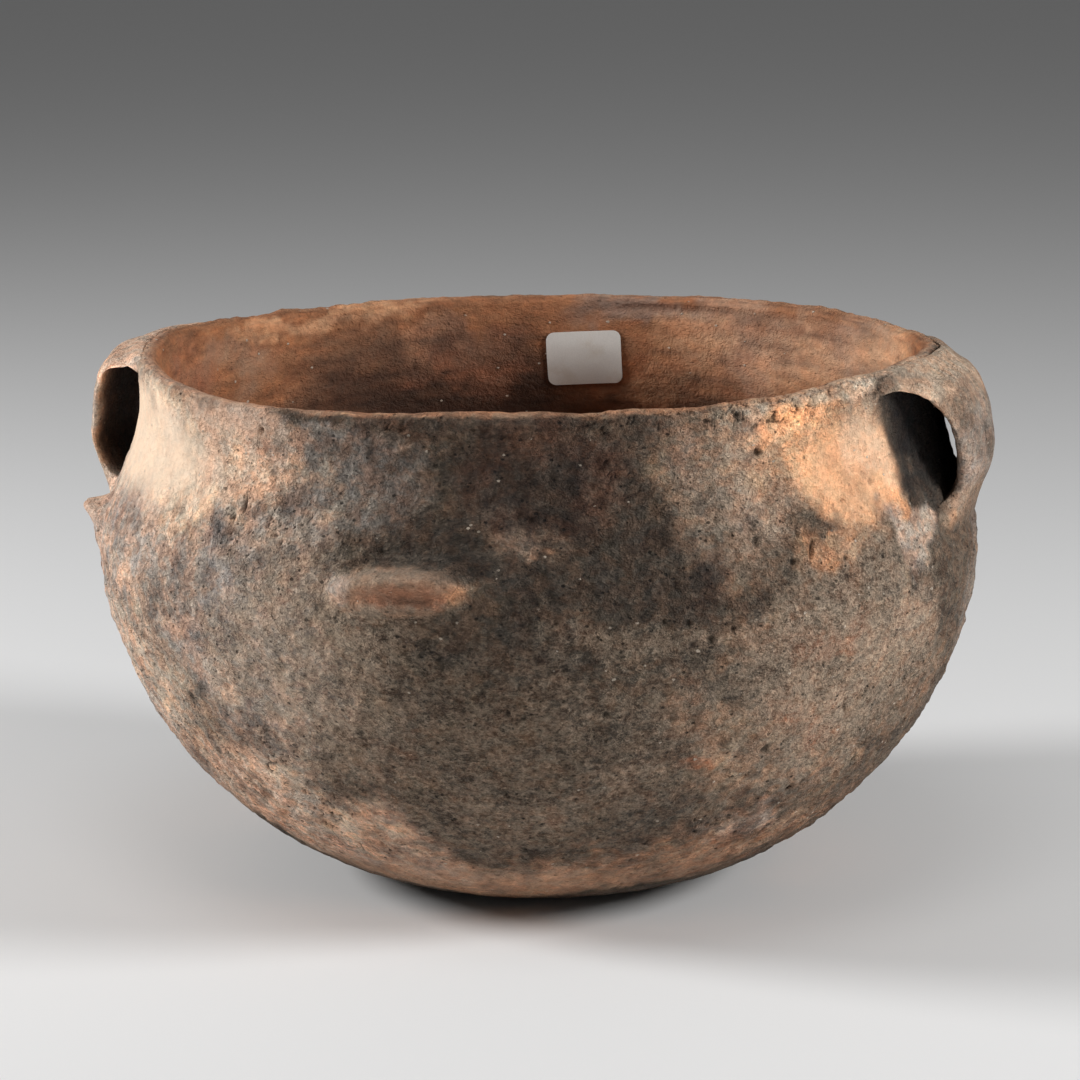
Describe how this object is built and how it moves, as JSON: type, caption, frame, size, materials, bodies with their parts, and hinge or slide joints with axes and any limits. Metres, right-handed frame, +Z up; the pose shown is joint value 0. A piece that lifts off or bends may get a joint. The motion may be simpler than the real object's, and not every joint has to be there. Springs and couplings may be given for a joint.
{
  "type": "loop-handled pottery jar",
  "caption": "Wide round-bottomed hand-built clay jar with a short neck, strap loop handles at the lip and small bar lugs on the shoulder.",
  "frame": {"origin": "middle of the worn flat on the bottom that the jar stands on", "axes": "+Z up through the mouth, +X through the right handle, -Y towards the front lug"},
  "size_m": [0.2061, 0.2037, 0.1226],
  "materials": {
    "base_clay": "matt orange-brown fired clay, rubbed",
    "wall_clay": "matt grey-brown fired clay with fire clouds",
    "shoulder_clay": "matt smoke-darkened fired clay, pitted",
    "rim_clay": "matt pink-orange fired clay, worn at the lip",
    "handle_clay": "matt beige-grey fired clay, smoothed",
    "lug_clay": "matt beige fired clay with a red-brown crest",
    "label_paper": "blank white paper label, rounded corners"
  },
  "bodies": {
    "root": {"base_bowl": "base_clay", "lower_wall_ring": "wall_clay", "belly_ring": "wall_clay", "shoulder_ring": "shoulder_clay", "neck_ring": "shoulder_clay", "rim_ring": "rim_clay", "right_handle": "handle_clay", "left_handle": "handle_clay", "front_lug": "lug_clay", "left_lug": "lug_clay", "inventory_label": "label_paper"}
  },
  "joints": []
}
